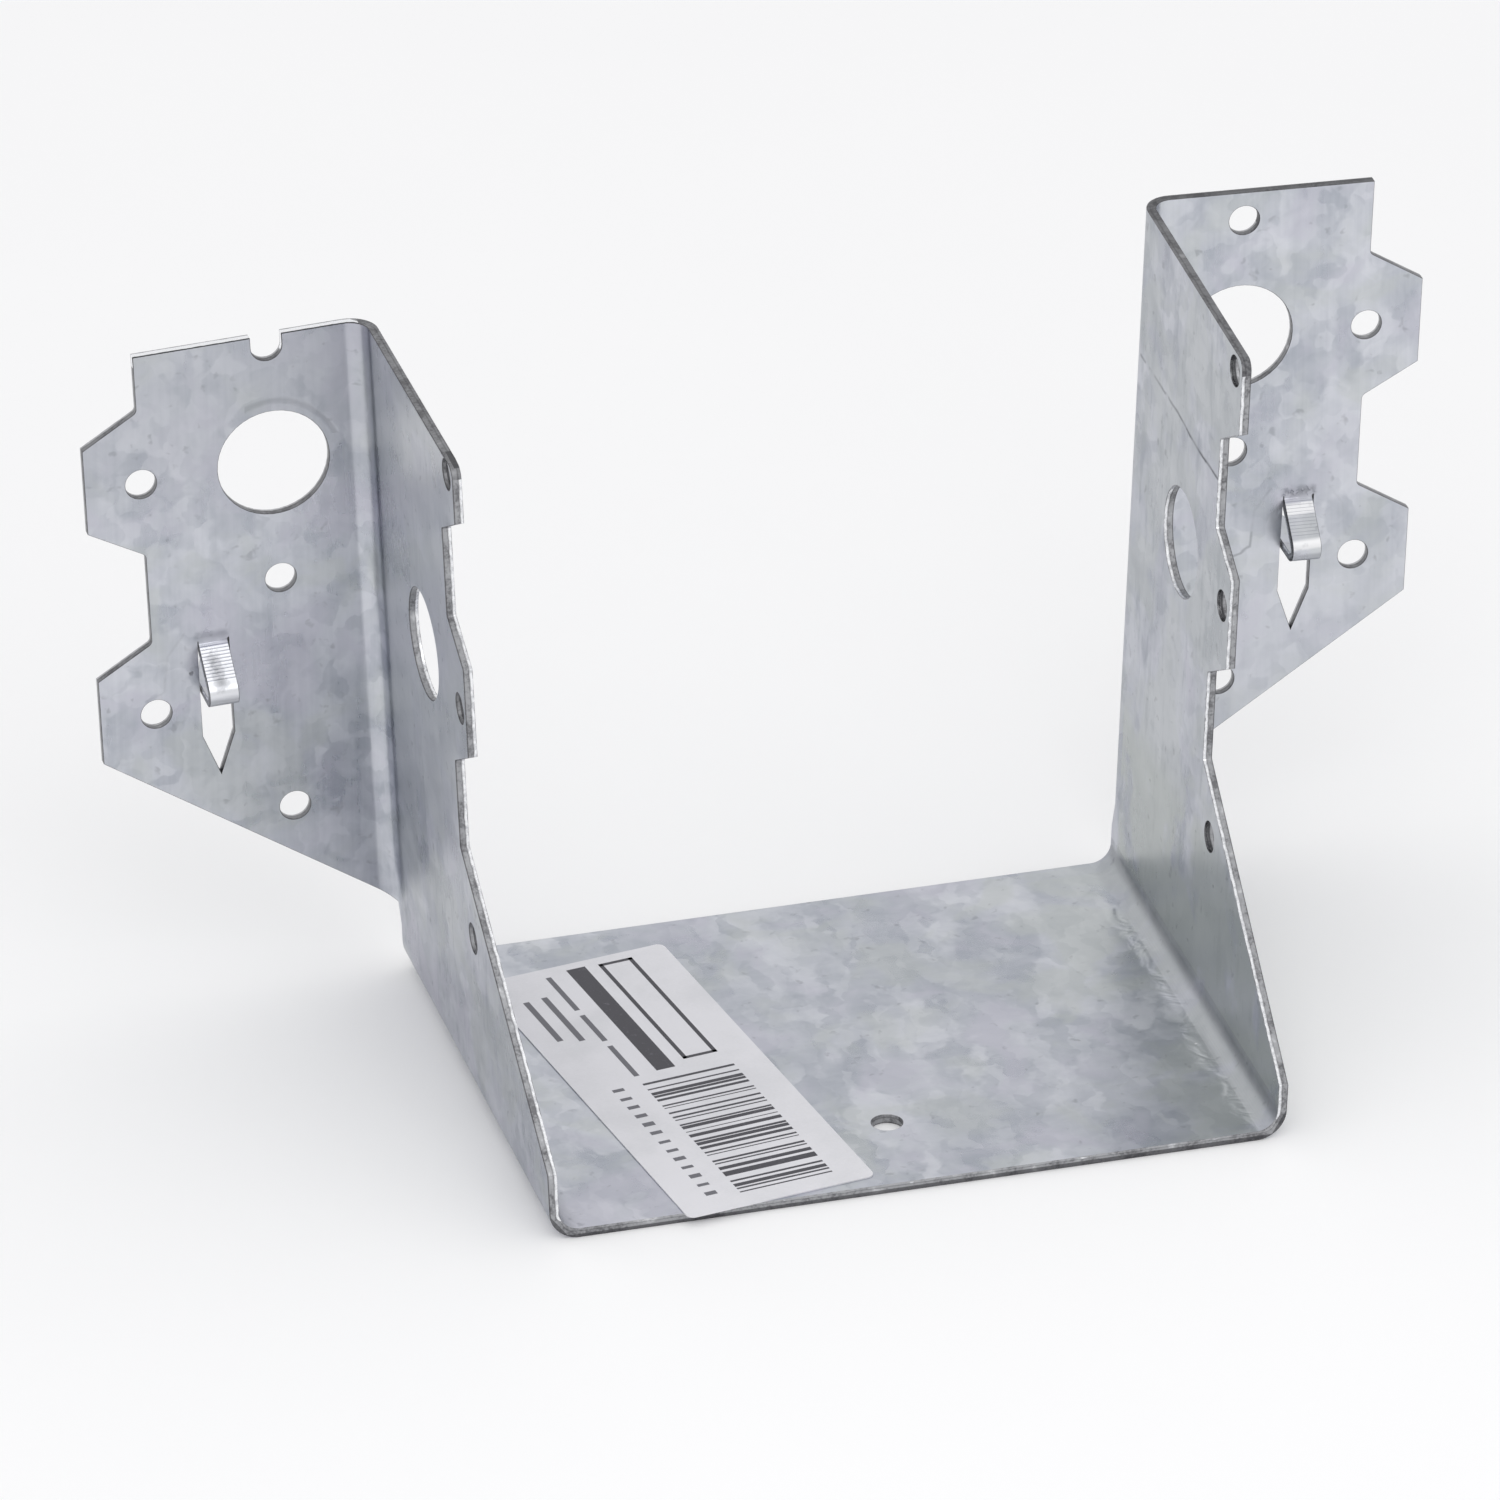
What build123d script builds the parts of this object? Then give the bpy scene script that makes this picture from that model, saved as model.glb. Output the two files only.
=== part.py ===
# Joist hanger folded from one blank of galvanised steel sheet, with a label on its seat
from build123d import *
import os
from math import cos, degrees, radians, sin, tan

os.makedirs("parts", exist_ok=True)

# Sheet and folds, in millimetres and degrees
sheet = 1.2
bend_inside = 2.6
splay = 2.31
fold_foot = 8.1
wall_foot = 5.0

# Seat, measured between the walls and forwards from the flanges' front face
inside_width = 90.0
seat_reach = 71.35
raw_edge_setback = 1.0
front_edge_height = 7.3
seat_hole_from_front = 14.55

# Height above the seat on the right, the taller side, and the five rows of holes that share it
wall_height = 91.0
left_drop = 2.39
top_row_margin = 3.78
first_row = 23.54
nail_hole = 3.9
bolt_hole = 14.0

# Flange outline, measured outwards from the wall
flange_recess = 28.8
flange_tab = 35.8
flange_tab_flat = 11.4
flange_tab_slope = 4.1
flange_round = 0.8
inner_nail_column = 12.2

# Wall outline, measured forwards from the flange
wall_recess = 35.4
wall_tab = 42.3
wall_tab_flat = 12.02
wall_round = 0.5
wall_top_round = 1.5
wall_nail_from_edge = 2.8
wall_bolt_depth = 22.3
left_profile_lift = 0.61
right_profile_lift = -1.31

# Prong, lanced out of the flange, folded forwards and back through its own slot
prong_column = 21.2
root_below_row = 6.9
slot_width = 4.0
slot_shoulder = 13.2
slot_length = 18.7
prong_play = 0.15
prong_slope = 47.5
prong_drop = 6.75
root_leg = 0.6
root_inside = 0.3
knuckle_inside = 0.6
spike_behind = 5.9
spike_taper = 5.4
spike_tip = 0.5

# Label on the seat, placed from the seat's middle and its front edge
label_width = 24.7
label_length = 63.4
label_thickness = 0.15
label_corner = 1.0
label_turn = 8.7
label_left_of_middle = 21.95
label_from_front = 31.75

# Places that follow from the sizes above
row_pitch = (wall_height - top_row_margin - first_row) / 4
rows = [first_row + row_pitch * step for step in range(5)]
wall_nail_depth = wall_tab - wall_nail_from_edge
seat_depth = seat_reach - raw_edge_setback
front_edge = -seat_depth / 2
bend_middle = bend_inside + sheet / 2
lean = radians(splay)
outward = Vector(cos(lean), 0, -sin(lean))
upward = Vector(sin(lean), 0, cos(lean))
forward = Vector(0, -1, 0)
fold_point = Vector(inside_width / 2, front_edge + seat_reach, sheet)
edge_slope = (rows[1] - flange_tab_flat / 2 - fold_foot) / flange_tab
slot_root = rows[2] - root_below_row


def upright_plane(out):
    # Along the wall, at a distance outwards from its inner face: x runs forwards, y up
    return Plane(fold_point + outward * out, x_dir=forward, z_dir=outward * -1)


def level_plane(height, out=0.0):
    # Across the wall, at a height above the seat: x runs outwards, y back
    return Plane(fold_point + upward * height + outward * out, x_dir=outward, z_dir=upward)


def flange_plane():
    # The flange's front face: x runs outwards from the wall's outer face, y up
    return Plane(fold_point + outward * sheet, x_dir=outward, z_dir=forward)


def round_corners(outline, corners, radius):
    # Rounds the named corners of an outline that is being sketched
    fillet([outline.vertices().sort_by_distance(corner)[0] for corner in corners], radius)


def wall_sketch(height, lift):
    # Flat of a wall above the seat's fold, with the stepped front edge and its holes
    half_flat = wall_tab_flat / 2
    half_pitch = row_pitch - half_flat
    top_corner = (wall_tab, height + lift)
    steps = [rows[4] - half_pitch, rows[2] + half_pitch, rows[2] - half_pitch, rows[0] + half_pitch]
    recess_corners = [(wall_recess, step + lift) for step in steps]
    with BuildSketch(upright_plane(0)) as outline:
        with BuildLine():
            Polyline(
                (bend_inside, wall_foot),
                (bend_inside, height),
                top_corner,
                (wall_tab, rows[4] - half_flat + lift),
                recess_corners[0],
                recess_corners[1],
                (wall_tab, rows[2] + half_flat + lift),
                (wall_tab, rows[2] - half_flat + lift),
                recess_corners[2],
                recess_corners[3],
                (seat_reach, front_edge_height + lift),
                (seat_reach, wall_foot),
                close=True,
            )
        make_face()
        round_corners(outline, [top_corner], wall_top_round)
        round_corners(outline, recess_corners, wall_round)
        with Locations([(wall_nail_depth, rows[row]) for row in (0, 2, 4)]):
            Circle(nail_hole / 2, mode=Mode.SUBTRACT)
        with Locations((wall_bolt_depth, rows[2])):
            Circle(bolt_hole / 2, mode=Mode.SUBTRACT)
    return outline.sketch


def flange_sketch(height):
    # Flat of a flange, with its tabs, its holes and the slot that the prong leaves
    half_flat = flange_tab_flat / 2
    half_tab = half_flat + flange_tab_slope
    recess_corners = [
        (flange_recess, rows[1] + half_tab),
        (flange_recess, rows[3] - half_tab),
        (flange_recess, rows[3] + half_tab),
    ]
    with BuildSketch(flange_plane()) as outline:
        with BuildLine():
            Polyline(
                (bend_inside, fold_foot + edge_slope * bend_inside),
                (flange_tab, rows[1] - half_flat),
                (flange_tab, rows[1] + half_flat),
                recess_corners[0],
                recess_corners[1],
                (flange_tab, rows[3] - half_flat),
                (flange_tab, rows[3] + half_flat),
                recess_corners[2],
                (flange_recess, height),
                (bend_inside, height),
                close=True,
            )
        make_face()
        round_corners(outline, recess_corners, flange_round)
        outer_places = [(flange_recess, rows[row]) for row in (1, 3)]
        inner_places = [(inner_nail_column, rows[row]) for row in (0, 2, 4)]
        with Locations(outer_places + inner_places):
            Circle(nail_hole / 2, mode=Mode.SUBTRACT)
        with Locations((inner_nail_column, rows[3])):
            Circle(bolt_hole / 2, mode=Mode.SUBTRACT)
        if height < rows[4] + nail_hole / 2:
            # A top edge that is cut this low opens the highest nail hole into a notch
            with Locations((inner_nail_column, rows[4])):
                Rectangle(nail_hole, nail_hole, align=(Align.CENTER, Align.MIN), mode=Mode.SUBTRACT)
        with BuildLine():
            Polyline(
                (prong_column - slot_width / 2, slot_root),
                (prong_column + slot_width / 2, slot_root),
                (prong_column + slot_width / 2, slot_root - slot_shoulder),
                (prong_column, slot_root - slot_length),
                (prong_column - slot_width / 2, slot_root - slot_shoulder),
                close=True,
            )
        make_face(mode=Mode.SUBTRACT)
    return outline.sketch


def prong_strip():
    # Side view of the prong, from its root over the knuckle to the flange's front face
    spike_height = slot_root - prong_drop
    slope_fall = slot_root - root_leg - spike_height
    knuckle_reach = slope_fall * tan(radians(prong_slope)) - sheet / 2
    with BuildSketch(upright_plane(sheet + prong_column)) as side_view:
        with BuildLine():
            FilletPolyline(
                (-sheet / 2, slot_root),
                (-sheet / 2, slot_root - root_leg),
                (knuckle_reach, spike_height),
                (0, spike_height),
                radius=[root_inside + sheet / 2, knuckle_inside + sheet / 2],
            )
        trace(line_width=sheet)
    return side_view.sketch


def prong_spike():
    # Plan of the spike, from the flange's front face through the slot to its point
    point_place = sheet + spike_behind
    half_width = slot_width / 2 - prong_play
    spike_under = slot_root - prong_drop - sheet / 2
    with BuildSketch(level_plane(spike_under, sheet + prong_column)) as plan:
        with BuildLine():
            Polyline(
                (-half_width, 0),
                (half_width, 0),
                (half_width, point_place - spike_taper),
                (spike_tip / 2, point_place),
                (-spike_tip / 2, point_place),
                (-half_width, point_place - spike_taper),
                close=True,
            )
        make_face()
    return plan.sketch


def fold_section(height, start, turn):
    # Band of the fold between wall and flange, seen from above, over a part of its turn
    with BuildSketch(level_plane(height)) as section:
        with BuildLine():
            CenterArc((sheet + bend_inside, -bend_inside), bend_middle, start, turn)
        trace(line_width=sheet)
    return section.sketch


def raw_edge_section(height):
    # Band of the flat wall behind the fold line, seen from above, where no flange follows
    with BuildSketch(level_plane(height)) as section:
        with BuildLine():
            Line((sheet / 2, -bend_inside), (sheet / 2, -raw_edge_setback))
        trace(line_width=sheet)
    return section.sketch


def half_sheet(height, lift):
    # Wall, fold, flange and prong of the right-hand side
    raw_turn = (bend_inside - raw_edge_setback) / bend_middle
    raw_end = bend_inside * (1 - cos(raw_turn))
    fold_start = fold_foot + edge_slope * raw_end
    half_width = slot_width / 2 - prong_play
    with BuildPart() as half:
        extrude(wall_sketch(height, lift), amount=-sheet)
        extrude(fold_section(fold_start, 180, -90), amount=height - fold_start)
        with BuildSketch(flange_plane()) as foot_cut:
            with BuildLine():
                Polyline(
                    (raw_end, fold_start),
                    (bend_inside, fold_start),
                    (bend_inside, fold_foot + edge_slope * bend_inside),
                    close=True,
                )
            make_face()
        extrude(amount=bend_inside + sheet, both=True, mode=Mode.SUBTRACT)
        loft([raw_edge_section(wall_foot), fold_section(fold_start, 180, -degrees(raw_turn))])
        extrude(flange_sketch(height), amount=-sheet)
        extrude(prong_strip(), amount=half_width, both=True)
        extrude(prong_spike(), amount=sheet)
    return half.part


corner_drop = (sheet / 2) * (1 - sin(lean)) / cos(lean)
corner = fold_point + outward * (sheet / 2) + upward * -corner_drop
foot = fold_point + outward * (sheet / 2) + upward * wall_foot

with BuildPart() as hanger:
    with BuildSketch(Plane.XZ.offset(front_edge)):
        with BuildLine():
            FilletPolyline(
                (-foot.X, foot.Z),
                (-corner.X, corner.Z),
                (corner.X, corner.Z),
                (foot.X, foot.Z),
                radius=bend_middle,
            )
        trace(line_width=sheet)
    extrude(amount=seat_depth)
    add(half_sheet(wall_height, right_profile_lift))
    add(mirror(half_sheet(wall_height - left_drop, left_profile_lift), about=Plane.YZ, mode=Mode.PRIVATE))
    with Locations((0, front_edge + seat_hole_from_front, sheet)):
        Hole(nail_hole / 2, depth=sheet)
hanger.part.label = "hanger"

with BuildPart() as label:
    with BuildSketch(Plane.XY.offset(sheet)):
        with Locations(Location((-label_left_of_middle, front_edge + label_from_front, 0), label_turn)):
            RectangleRounded(label_width, label_length, label_corner)
    extrude(amount=label_thickness)
label.part.label = "label"

export_step(hanger.part, "parts/hanger.step")
export_step(label.part, "parts/label.step")
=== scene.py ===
# Joist hanger: galvanised sheet with sheared edges, and the label on its seat
from math import atan2, cos, pi, radians, sin

import bmesh
import bpy
from mathutils import Matrix, Vector
from mathutils.bvhtree import BVHTree


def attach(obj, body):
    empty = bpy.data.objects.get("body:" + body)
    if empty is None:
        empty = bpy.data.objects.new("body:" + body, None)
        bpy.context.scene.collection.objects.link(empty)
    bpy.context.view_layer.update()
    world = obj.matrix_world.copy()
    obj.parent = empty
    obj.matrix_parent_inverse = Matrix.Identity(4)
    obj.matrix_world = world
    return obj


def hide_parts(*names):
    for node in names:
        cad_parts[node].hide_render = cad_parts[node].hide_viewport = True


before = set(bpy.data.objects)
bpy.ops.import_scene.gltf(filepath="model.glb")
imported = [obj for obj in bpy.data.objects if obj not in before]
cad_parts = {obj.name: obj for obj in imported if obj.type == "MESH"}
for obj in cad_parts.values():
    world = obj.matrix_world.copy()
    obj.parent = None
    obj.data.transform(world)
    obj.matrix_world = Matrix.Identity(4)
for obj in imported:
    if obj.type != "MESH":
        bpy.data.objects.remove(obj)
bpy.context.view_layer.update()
mm = 0.001
scene = bpy.context.scene


class Wire:
    # one output of a node; the signs between wires and numbers add their Math nodes
    def __init__(self, board, socket):
        self.board = board
        self.socket = socket

    def __getitem__(self, name):
        return Wire(self.board, self.socket.node.outputs[name])

    def joined(self, operation, first, second):
        return self.board.add("Math", {"operation": operation}, {0: first, 1: second})

    def __add__(self, other):
        return self.joined("ADD", self, other)

    def __radd__(self, other):
        return self.joined("ADD", other, self)

    def __sub__(self, other):
        return self.joined("SUBTRACT", self, other)

    def __rsub__(self, other):
        return self.joined("SUBTRACT", other, self)

    def __mul__(self, other):
        return self.joined("MULTIPLY", self, other)

    def __rmul__(self, other):
        return self.joined("MULTIPLY", other, self)

    def __truediv__(self, other):
        return self.joined("DIVIDE", self, other)

    def __rtruediv__(self, other):
        return self.joined("DIVIDE", other, self)

    def __pow__(self, other):
        return self.joined("POWER", self, other)

    def __gt__(self, other):
        return self.joined("GREATER_THAN", self, other)

    def __lt__(self, other):
        return self.joined("LESS_THAN", self, other)

    def __abs__(self):
        return self.joined("ABSOLUTE", self, 0)


def smaller(first, second):
    return first.joined("MINIMUM", first, second)


def larger(first, second):
    return first.joined("MAXIMUM", first, second)


class Board:
    # the node tree of one finish, or of the world
    def __init__(self, title, kept=None):
        self.material = kept or bpy.data.materials.new(title)
        self.material.use_nodes = True
        self.tree = self.material.node_tree
        self.tree.nodes.clear()

    def socket(self, sockets, key):
        if isinstance(key, int):
            return sockets[key]
        named = [socket for socket in sockets if key in (socket.identifier, socket.name)]
        return next((socket for socket in named if socket.enabled), named[0])

    def add(self, kind, settings=None, sockets=None):
        # any node: its settings first, a ramp's stops among them, then its sockets
        node = self.tree.nodes.new("ShaderNode" + kind)
        for key, value in (settings or {}).items():
            if key == "stops":
                ramp = node.color_ramp.elements
                while len(ramp) < len(value):
                    ramp.new(0.5)
                for element, (place, shade) in zip(ramp, value):
                    element.position = place
                    element.color = (shade, shade, shade, 1)
            else:
                setattr(node, key, value)
        for key, value in (sockets or {}).items():
            socket = self.socket(node.inputs, key)
            if isinstance(value, Wire):
                self.tree.links.new(value.socket, socket)
            else:
                socket.default_value = value
        shown = [socket for socket in node.outputs if socket.enabled]
        return Wire(self, (shown or list(node.outputs) or [None])[0]) if node.outputs else node

    def place(self):
        return self.add("TexCoord")["Object"]

    def noise(self, vector, size, detail=2.0, rough=0.5, twist=0.0):
        # size is the grain's width in metres
        return self.add("TexNoise", None, {"Vector": vector, "Scale": 1 / size, "Detail": detail,
                                           "Roughness": rough, "Distortion": twist})["Fac"]

    def stretched(self, vector, scale):
        return self.add("Mapping", None, {"Vector": vector, "Scale": scale})

    def rise(self, value, low, high):
        # 0 below low, 1 above high, smooth between
        return self.add("MapRange", {"interpolation_type": "SMOOTHSTEP"},
                        {"Value": value, "From Min": low, "From Max": high})

    def band(self, value, rising, falling):
        # 1 between two soft ends, each with its first and its last value
        return self.rise(value, *rising) * self.rise(value, *falling)

    def blend(self, first, second, share):
        return self.add("Mix", {"data_type": "RGBA"},
                        {"A_Color": first, "B_Color": second, "Factor_Float": share})

    def relief(self, height, deep, under=None):
        # deep is the height that a value of 1 stands for, in metres
        sockets = {"Height": height, "Strength": 1.0, "Distance": deep}
        if under is not None:
            sockets["Normal"] = under
        return self.add("Bump", None, sockets)

    def finish(self, sockets):
        shader = self.add("BsdfPrincipled", None, sockets)
        self.add("OutputMaterial", None, {"Surface": shader})
        return self.material


def nearLine(across, along, start, end):
    # distance of a point from a straight mark, in the units of its ends
    runAcross, runAlong = end[0] - start[0], end[1] - start[1]
    length = runAcross ** 2 + runAlong ** 2
    share = (across - start[0]) * (runAcross / length) + (along - start[1]) * (runAlong / length)
    share = smaller(larger(share, 0.0), 1.0)
    offAcross = across - start[0] - share * runAcross
    offAlong = along - start[1] - share * runAlong
    return (offAcross * offAcross + offAlong * offAlong) ** 0.5


def nearPath(across, along, places):
    # distance of a point from a mark made of straight stretches
    near = nearLine(across, along, places[0], places[1])
    for start, end in zip(places[1:-1], places[2:]):
        near = smaller(near, nearLine(across, along, start, end))
    return near


# Where the folded sheet lies: the same sizes as the solid, in millimetres
sheet = {
    "thick": 1.2,
    "insideWidth": 90.0,
    "splay": 2.31,
    "flangeFront": 36.175,
    "bendInside": 2.6,
    "foldStart": 8.2,
    "boltPlace": (13.4, 71.30),
    "prongColumn": 21.2,
    "prongRoot": 48.48,
    "rootLeg": 0.6,
    "prongSlope": 47.5,
    "slotWidth": 4.0,
    "foldFacets": 14,
}


def hangerPoint(side, out, ahead, up):
    # side is 1 right and -1 left; out from the wall's inner face, ahead of the flange, up from the seat
    lean = radians(sheet["splay"])
    acrossWall = sheet["insideWidth"] / 2 + out * cos(lean) + up * sin(lean)
    return Vector((side * acrossWall, sheet["flangeFront"] - ahead,
                   sheet["thick"] - out * sin(lean) + up * cos(lean))) * mm


# Stretches of the folded sheet that its finishes tell apart, in metres: x across, y back, z up
zones = {
    "flangeFrom": (sheet["flangeFront"] - 0.9) * mm,
    # the walls, from their inner face at the foot to their outer face at the top, and up to the flange's bend
    "wallFrom": 0.0446,
    "wallTo": 0.0502,
    "wallFoot": 0.0042,
    "wallBack": 0.0325,
    "bendFront": 0.0330,
    "bendMiddle": 0.0345,
    # the folds between seat and walls: their height, the two soft borders of their band of painted shade, and
    # their dark line of painted shade
    "foldTop": 0.0046,
    "foldUnder": 0.001,
    "foldBand": ((0.0418, 0.0436), (0.0462, 0.0448)),
    "foldLine": (0.0436, 0.0462),
    "foldLineUp": 0.0029,
    "foldLineFoot": 0.0014,
    "swell": (0.0404, 0.0438),
}


class SheetPlaces:
    # where a point of the folded sheet lies, for the finishes of its faces and of its edges
    def __init__(self, board):
        self.place = board.place()
        parts = board.add("SeparateXYZ", None, {"Vector": self.place})
        self.x, self.y, self.z = parts["X"], parts["Y"], parts["Z"]
        self.across = abs(self.x)
        self.onLeft, self.onRight = self.x < 0, self.x > 0
        self.onFlange = self.y > zones["flangeFrom"]
        self.aboveFoot = self.z > zones["wallFoot"]
        self.onWall = (self.across > zones["wallFrom"]) * (self.across < zones["wallTo"]) * self.aboveFoot
        self.beforeBend = self.y < zones["wallBack"]


# Zinc on the sheet's faces: sizes of the patterns in metres
zinc = {
    "dark": (0.385, 0.41, 0.46, 1),
    "light": (0.68, 0.695, 0.74, 1),
    "violet": (0.565, 0.555, 0.635, 1),
    "green": (0.53, 0.56, 0.53, 1),
    # stretched metal on the prongs; also painted light, up the left wall and on the left prong
    "stretched": (0.86, 0.87, 0.89, 1),
    # painted shade: along the seat's folds, under the prongs' knuckles, on the right prong's face and high on
    # the left flange
    "dull": (0.34, 0.35, 0.38, 1),
    # painted highlights: glints on a few pits and bands on the right prong
    "glint": (0.95, 0.95, 0.96, 1),
    # stains and marks, and painted shade in the prongs' dents and along the seat's folds
    "stain": (0.13, 0.135, 0.15, 1),
    "grazing": (0.77, 0.77, 0.78, 1),
    "tintShare": 0.48,
    "hueSize": 0.012,
    "cloudSize": 0.015,
    "flakeSize": 0.0062,
    "flakeLean": (0.5, 0.3, 0.6),
    "frayReach": 0.0054,
    "grainSize": 0.00045,
    "rough": 0.30,
    "roughSpread": 0.16,
    "lineSize": 0.0011,
    "flangeLineSize": 0.0013,
    "streakSize": 0.0021,
    "pitSize": 0.013,
    "pitWidth": 0.017,
    "speckSize": 0.0016,
}
# heights of the relief, in micrometres
relief = {"wave": 60, "flake": 25, "rub": 5, "grain": 4, "swell": 260,
          "pit": 25, "scratch": 30, "outline": 10, "dent": 60, "ring": 25}
# how dark each kind of mark is; for the dent and the fold line this darkness is painted shade
stainsAndShade = {"pit": 0.62, "speck": 0.27, "scratch": 0.95, "outline": 0.40, "dent": 0.23, "smudge": 0.60,
          "ring": 0.22, "foldLine": 0.22}
wear = {
    # the rub line on the right wall's inner face, as places back and up, in metres
    "rubLine": [(0.0333, 0.07265), (0.0176, 0.0725), (0.0104, 0.0716), (0.0, 0.0717)],
    "rubWidth": 0.00038,
    "rubSkin": (0.047, 0.0484),
    "scratchMiddle": 0.0075,
    # the ring that is pressed in round the upper side of the left bolt hole
    "ringRadius": 0.0083,
    "ringEnds": (-0.0035, 0.0030),
    # the tool's outline round each prong, as places out from its middle and up
    "toolOutline": [(0.0036, 0.0500), (0.0057, 0.0471), (0.0062, 0.0425), (0.0085, 0.0414)],
    "toolWidth": 0.00030,
    "dentReach": 0.0016,
    "dentWidth": 0.0011,
    # the grey smudge on the left prong's face: its two ends, across and up, and its reach
    "smudge": ((-0.0697, 0.0466), (-0.0693, 0.0447)),
    "smudgeReach": (0.0003, 0.0012),
    # the prongs: half their width, from where to where they reach back, and their foot
    "prongHalf": 0.0022,
    "prongReach": (0.026, 0.0357),
    "prongFoot": 0.036,
    # heights on the prongs: the underside, in painted shade, and on the right one the face in painted shade
    # and the bands of painted highlight
    "knuckleUnder": (0.0431, 0.0426),
    "knuckleBand": ((0.0434, 0.0438), (0.0448, 0.0444)),
    "dullFace": (0.0438, 0.0446),
    "rootBand": ((0.0467, 0.0471), (0.0481, 0.0477)),
}


def flakesOn(board, place):
    # crystal flakes of two sizes, with frayed, soft borders
    fray = board.add("TexNoise", None, {"Vector": place, "Scale": 300.0, "Detail": 2.2})["Color"]
    frayed = board.add("VectorMath", {"operation": "MULTIPLY_ADD"},
                       {0: fray, 1: (zinc["frayReach"],) * 3, 2: place})
    leaning = board.add("Mapping", None,
                        {"Vector": frayed, "Rotation": zinc["flakeLean"], "Scale": (1.0, 0.5, 0.8)})
    flakeParts = []
    for crowd in (1.0, 2.6):
        cells = board.add("TexVoronoi", {"feature": "SMOOTH_F1"},
                          {"Vector": leaning, "Scale": crowd / zinc["flakeSize"], "Smoothness": 0.22})
        flakeParts.append(board.add("SeparateColor", None, {"Color": cells["Color"]})["Red"])
    return flakeParts[0] * 0.55 + flakeParts[1] * 0.45


def rollingLines(board, at):
    # fine lines up the walls and flanges and, fainter, across the seat; dark streaks on the walls
    onWallDrawn = board.stretched(at.place, (0.035, 1.0, 0.035))
    onFlangeDrawn = board.stretched(at.place, (1.0, 0.035, 0.035))
    lines = board.noise(onWallDrawn, zinc["lineSize"], 3.0, 0.6)
    flangeLines = board.noise(onFlangeDrawn, zinc["flangeLineSize"], 3.0, 0.6)
    share = at.aboveFoot * 0.65 + 0.35
    rub = (lines + (flangeLines - lines) * at.onFlange - 0.5) * share + 0.5
    streaks = board.noise(board.stretched(at.place, (0.2, 1.0, 0.2)), zinc["streakSize"], 4.0, 0.65, 0.3)
    return rub, board.rise(streaks, 0.53, 0.68) * at.onWall


def pitsOn(board, place):
    # small ragged pits of varied width; a few of the same spots are painted white as glints, a painted
    # highlight
    cells = board.add("TexVoronoi", {"feature": "F1"}, {"Vector": place, "Scale": 1 / zinc["pitSize"]})
    chance = board.add("SeparateColor", None, {"Color": cells["Color"]})
    ragged = board.noise(place, 0.00024, 3.0, 0.7)
    fromMiddle = (cells["Distance"] + (ragged - 0.5) * 0.03) / (chance["Red"] * 0.7 + 0.6)
    spots = 1 - board.rise(fromMiddle, zinc["pitWidth"] * 0.8, zinc["pitWidth"] * 1.8)
    return spots * (chance["Green"] > 0.50), spots * (chance["Green"] < 0.07)


def scratchOn(board, at, patches):
    # the scratch on the right wall, deepest near its middle
    near = nearPath(at.y, at.z + (patches - 0.5) * 0.0008, wear["rubLine"])
    nearMiddle = board.rise(abs(at.y - wear["scratchMiddle"]), 0.013, 0.004)
    deep = board.rise(patches, 0.38, 0.58) * 0.55 + nearMiddle * 0.45
    inner, outer = wear["rubSkin"]
    return (1 - board.rise(near, 0.0, wear["rubWidth"])) * (at.x > inner) * (at.x < outer) * deep


def ringOn(board, at, patches):
    # part of a ring over the left flange's bolt hole
    bolt = hangerPoint(-1, sheet["boltPlace"][0], 0, sheet["boltPlace"][1])
    across, up = at.x - bolt[0], at.z - bolt[2]
    leftEnd, lowEnd = wear["ringEnds"]
    ring = abs((across * across + up * up) ** 0.5 - wear["ringRadius"] - (patches - 0.5) * 0.0006)
    return (1 - board.rise(ring, 0.0001, 0.0006)) * (up > lowEnd) * (across > leftEnd) * at.onFlange


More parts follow.
